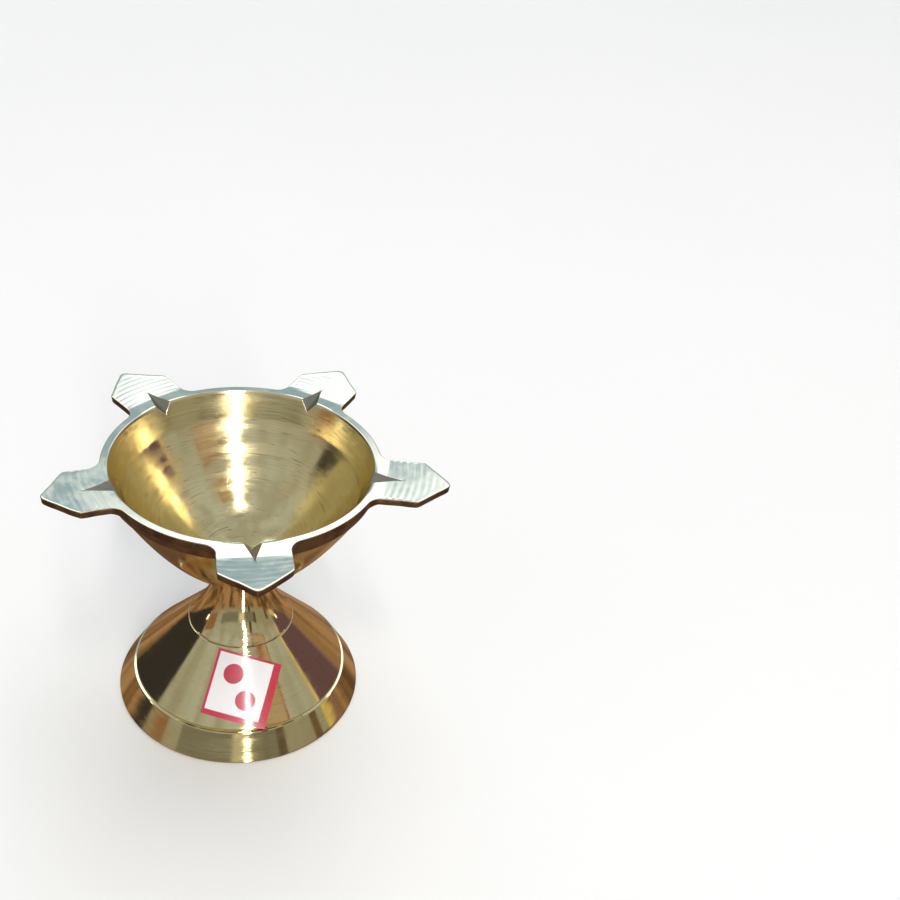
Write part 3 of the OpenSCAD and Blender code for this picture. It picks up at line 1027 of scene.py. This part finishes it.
def floor_material(name):
    """Matt off-white studio board with a very faint grain."""
    material, g = new_material(name)
    place = g.node("ShaderNodeTexCoord").outputs["Object"]
    grain = g.noise(place, 900.0, 3.0)
    cloud = g.noise(place, 6.0, 2.0)
    colour = g.mix(cloud, rgb(0.80, 0.79, 0.775), rgb(0.83, 0.82, 0.80))
    values = {"Base Color": colour, "Roughness": g.math("ADD", 0.55, g.math("MULTIPLY", grain, 0.2))}
    finish_shader(g, values, grain, 0.02)
    return material


# ---------------------------------------------------------------- studio


def make_floor():
    size, n = 16.0, 8  # metres and squares along a side
    mesh = bpy.data.meshes.new("studio_floor")
    side = np.linspace(-size / 2, size / 2, n + 1)
    points = [(x, y, 0.0) for y in side for x in side]
    faces = [
        [i * (n + 1) + j, i * (n + 1) + j + 1, (i + 1) * (n + 1) + j + 1, (i + 1) * (n + 1) + j]
        for i in range(n) for j in range(n)
    ]
    mesh.from_pydata(points, [], faces)
    mesh.materials.append(floor_material("studio_board"))
    floor = place_object("studio_floor", mesh)
    floor.visible_glossy = False  # polished brass mirrors the studio's brown ground, not the board


def direction(azimuth, elevation):
    a, e = math.radians(azimuth), math.radians(elevation)
    return Vector((math.cos(a) * math.cos(e), math.sin(a) * math.cos(e), math.sin(e)))


def add_light(data, toward):
    """A light that shines from the given direction."""
    light = place_object(data.name, data)
    light.rotation_mode = "QUATERNION"
    light.rotation_quaternion = (-toward).to_track_quat("-Z", "Y")
    return light


def area_light(name, azimuth, elevation, distance, size, power, colour):
    """A softbox that faces the lamp from the given direction, in degrees; size is (wide, tall)."""
    data = bpy.data.lights.new(name, "AREA")
    data.shape = "RECTANGLE"
    data.size, data.size_y = size
    data.energy, data.color = power, colour
    away = direction(azimuth, elevation)
    lamp_middle = Vector((0, 0, 0.03))
    light = add_light(data, away)
    light.location = lamp_middle + away * distance
    light.visible_camera = False


def sky_light(name, azimuth, elevation, strength):
    """A broad, even light from one side of the ceiling, which polished brass doesn't mirror."""
    data = bpy.data.lights.new(name, "SUN")
    data.energy, data.angle = strength, math.radians(50)
    add_light(data, direction(azimuth, elevation)).visible_glossy = False


# Soft panels of the studio round the lamp, which its polished brass mirrors: azimuth, half width,
# lowest and highest elevation and softness in degrees, then colour and brightness. Later panels
# cover earlier ones
PANELS = [
    ("back_blue", 88, 42, 20, 40, 3, (0.44, 0.64, 0.80), 0.80),
    ("back_glow", 92, 40, 37.6, 52, 1, (0.80, 0.88, 1.0), 2.2),
    ("side_glow", 77, 13, 35.6, 52, 0.7, (0.80, 0.88, 1.0), 2.2),
    ("right_glow", 65, 14, 33.5, 52, 1, (0.80, 0.88, 1.0), 2.0),
    ("dark_door", 152, 27, -6, 25, 2, (0.065, 0.060, 0.066), 0.6),
    ("brown_door", 190, 9, 2, 19, 2, (0.42, 0.22, 0.12), 0.7),
    ("dark_post", -70, 3, -3, 27, 1, (0.16, 0.12, 0.08), 0.6),
    ("copper_frame", -55, 14, 26, 38, 1, (0.40, 0.18, 0.10), 0.8),
    ("copper_panel", -55, 12, 28, 36, 1, (0.60, 0.46, 0.34), 0.8),
    ("copper_eave", -56, 13, 47, 60, 1.5, (0.52, 0.33, 0.20), 0.8),
    ("copper_wall", 38, 13, -4, 22, 2, (0.40, 0.24, 0.14), 0.8),
    ("curtain", 9, 17, -4, 25, 3, (0.19, 0.11, 0.155), 0.75),
    ("sun_path", -87, 1.9, -45, 22, 1.2, (1.0, 0.94, 0.84), 15.0),
    ("porch", -100, 47, 4, 14.4, 0.7, (0.21, 0.205, 0.185), 1.0),
    ("porch_light", -92, 7, 5, 14, 3, (0.80, 0.72, 0.54), 1.0),
    ("porch_post", -57, 3.5, 4, 15, 1, (0.13, 0.10, 0.07), 1.0),
    ("garden_post", -23, 3.5, -3, 9, 1, (0.15, 0.10, 0.06), 1.0),
    ("gold_window", -6, 6, -2, 4, 1.5, (0.70, 0.55, 0.20), 1.0),
    ("left_slit", 1.5, 1.2, 1.5, 5, 0.8, (1.0, 0.92, 0.70), 3.0),
    ("right_slit", 176, 1.5, 2.5, 7, 1, (1.0, 0.92, 0.70), 3.0),
    ("curtain_edge", -9, 1.2, 12, 30, 0.8, (0.75, 0.55, 0.25), 1.0),
]


def make_world():
    """A dim mottled ground and sky with the panels over them, and a plain backdrop for the camera."""
    world = bpy.data.worlds.new("studio")
    bpy.context.scene.world = world
    world.use_nodes = True
    g = Graph(world.node_tree)
    place = g.node("ShaderNodeTexCoord").outputs["Generated"]
    parts = g.node("ShaderNodeSeparateXYZ", {"Vector": place})
    x, y, z = parts.outputs
    flat = g.math("MAXIMUM", g.length(x, y), 1e-4)
    mottle = g.span(g.noise(place, 3.5, 4.0), 0.38, 0.62)
    ground = g.mix(mottle, rgb(0.13, 0.07, 0.04), rgb(0.42, 0.25, 0.14))
    sky = g.mix(g.span(z, 0.0, 0.8), rgb(0.36, 0.36, 0.31), rgb(0.51, 0.55, 0.59))
    sky = g.mix(g.math("MULTIPLY", mottle, 0.45), sky, rgb(0.26, 0.23, 0.17))
    colour = g.mix(g.span(z, -0.06, 0.04), ground, sky)
    for _, azimuth, half, low, high, soft, tint, light in PANELS:
        a = math.radians(azimuth)
        facing = g.math("ADD", g.math("MULTIPLY", x, math.cos(a)), g.math("MULTIPLY", y, math.sin(a)))
        facing = g.math("DIVIDE", facing, flat)
        half, blur = math.radians(half), math.radians(soft)
        lo, hi = math.radians(low), math.radians(high)
        mask = g.span(facing, math.cos(half + blur), math.cos(max(0, half - blur)))
        mask = g.math("MULTIPLY", mask, g.span(z, math.sin(lo - blur), math.sin(lo + blur)))
        mask = g.math("MULTIPLY", mask, g.span(z, math.sin(hi + blur), math.sin(hi - blur)))
        colour = g.mix(mask, colour, rgb(*(c * light for c in tint)))
    seen = g.node("ShaderNodeLightPath").outputs["Is Camera Ray"]
    backdrop = rgb(0.93, 0.925, 0.915)
    colour = g.mix(seen, colour, backdrop)
    back = g.node("ShaderNodeBackground", {"Color": colour, "Strength": 1.0})
    out = g.node("ShaderNodeOutputWorld")
    g.tree.links.new(back.outputs[0], out.inputs["Surface"])


# ---------------------------------------------------------------- assembly

make_camera()

bowl = make_bowl([
    turned_brass("turned_well", 1.0, 0.008, 0.10, lines=0.45, matte_beyond=22.5),
    faced_brass("faced_rim"),
    # Near-black browns: as-cast skin, with painted shade under the rim and the leaves
    cast_brass("cast_skin_and_shade", rgb(0.10, 0.055, 0.03), rgb(0.19, 0.115, 0.06), 1.0),
    turned_brass("turned_bowl", 1.0, 0.004, 0.10),
    turned_brass("cut_thread", 1.0, 0.004, 0.22),
    filed_and_shaded_brass("filed_groove_and_shade"),
])
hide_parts("oil_bowl")
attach(bowl, "root")

foot = make_foot([
    turned_brass("turned_foot", -1.0, 0.003, 0.05, lines=0.15, swirl=0.3),
    cast_brass("foot_hollow_skin", rgb(0.26, 0.17, 0.09), rgb(0.40, 0.28, 0.14), 0.5),
    turned_brass("foot_thread", 1.0, 0.004, 0.22),
])
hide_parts("pedestal_foot")
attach(foot, "root")

label = make_label(label_print("printed_label"))
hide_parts("size_label")
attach(label, "root")

make_floor()
make_world()
area_light("key_strip", -84, 45, 3.0, (0.10, 2.75), 54.0, (1.0, 0.98, 0.95))
sky_light("soft_sky", 60, 70, 1.15)
bpy.context.scene.view_settings.view_transform = "Standard"
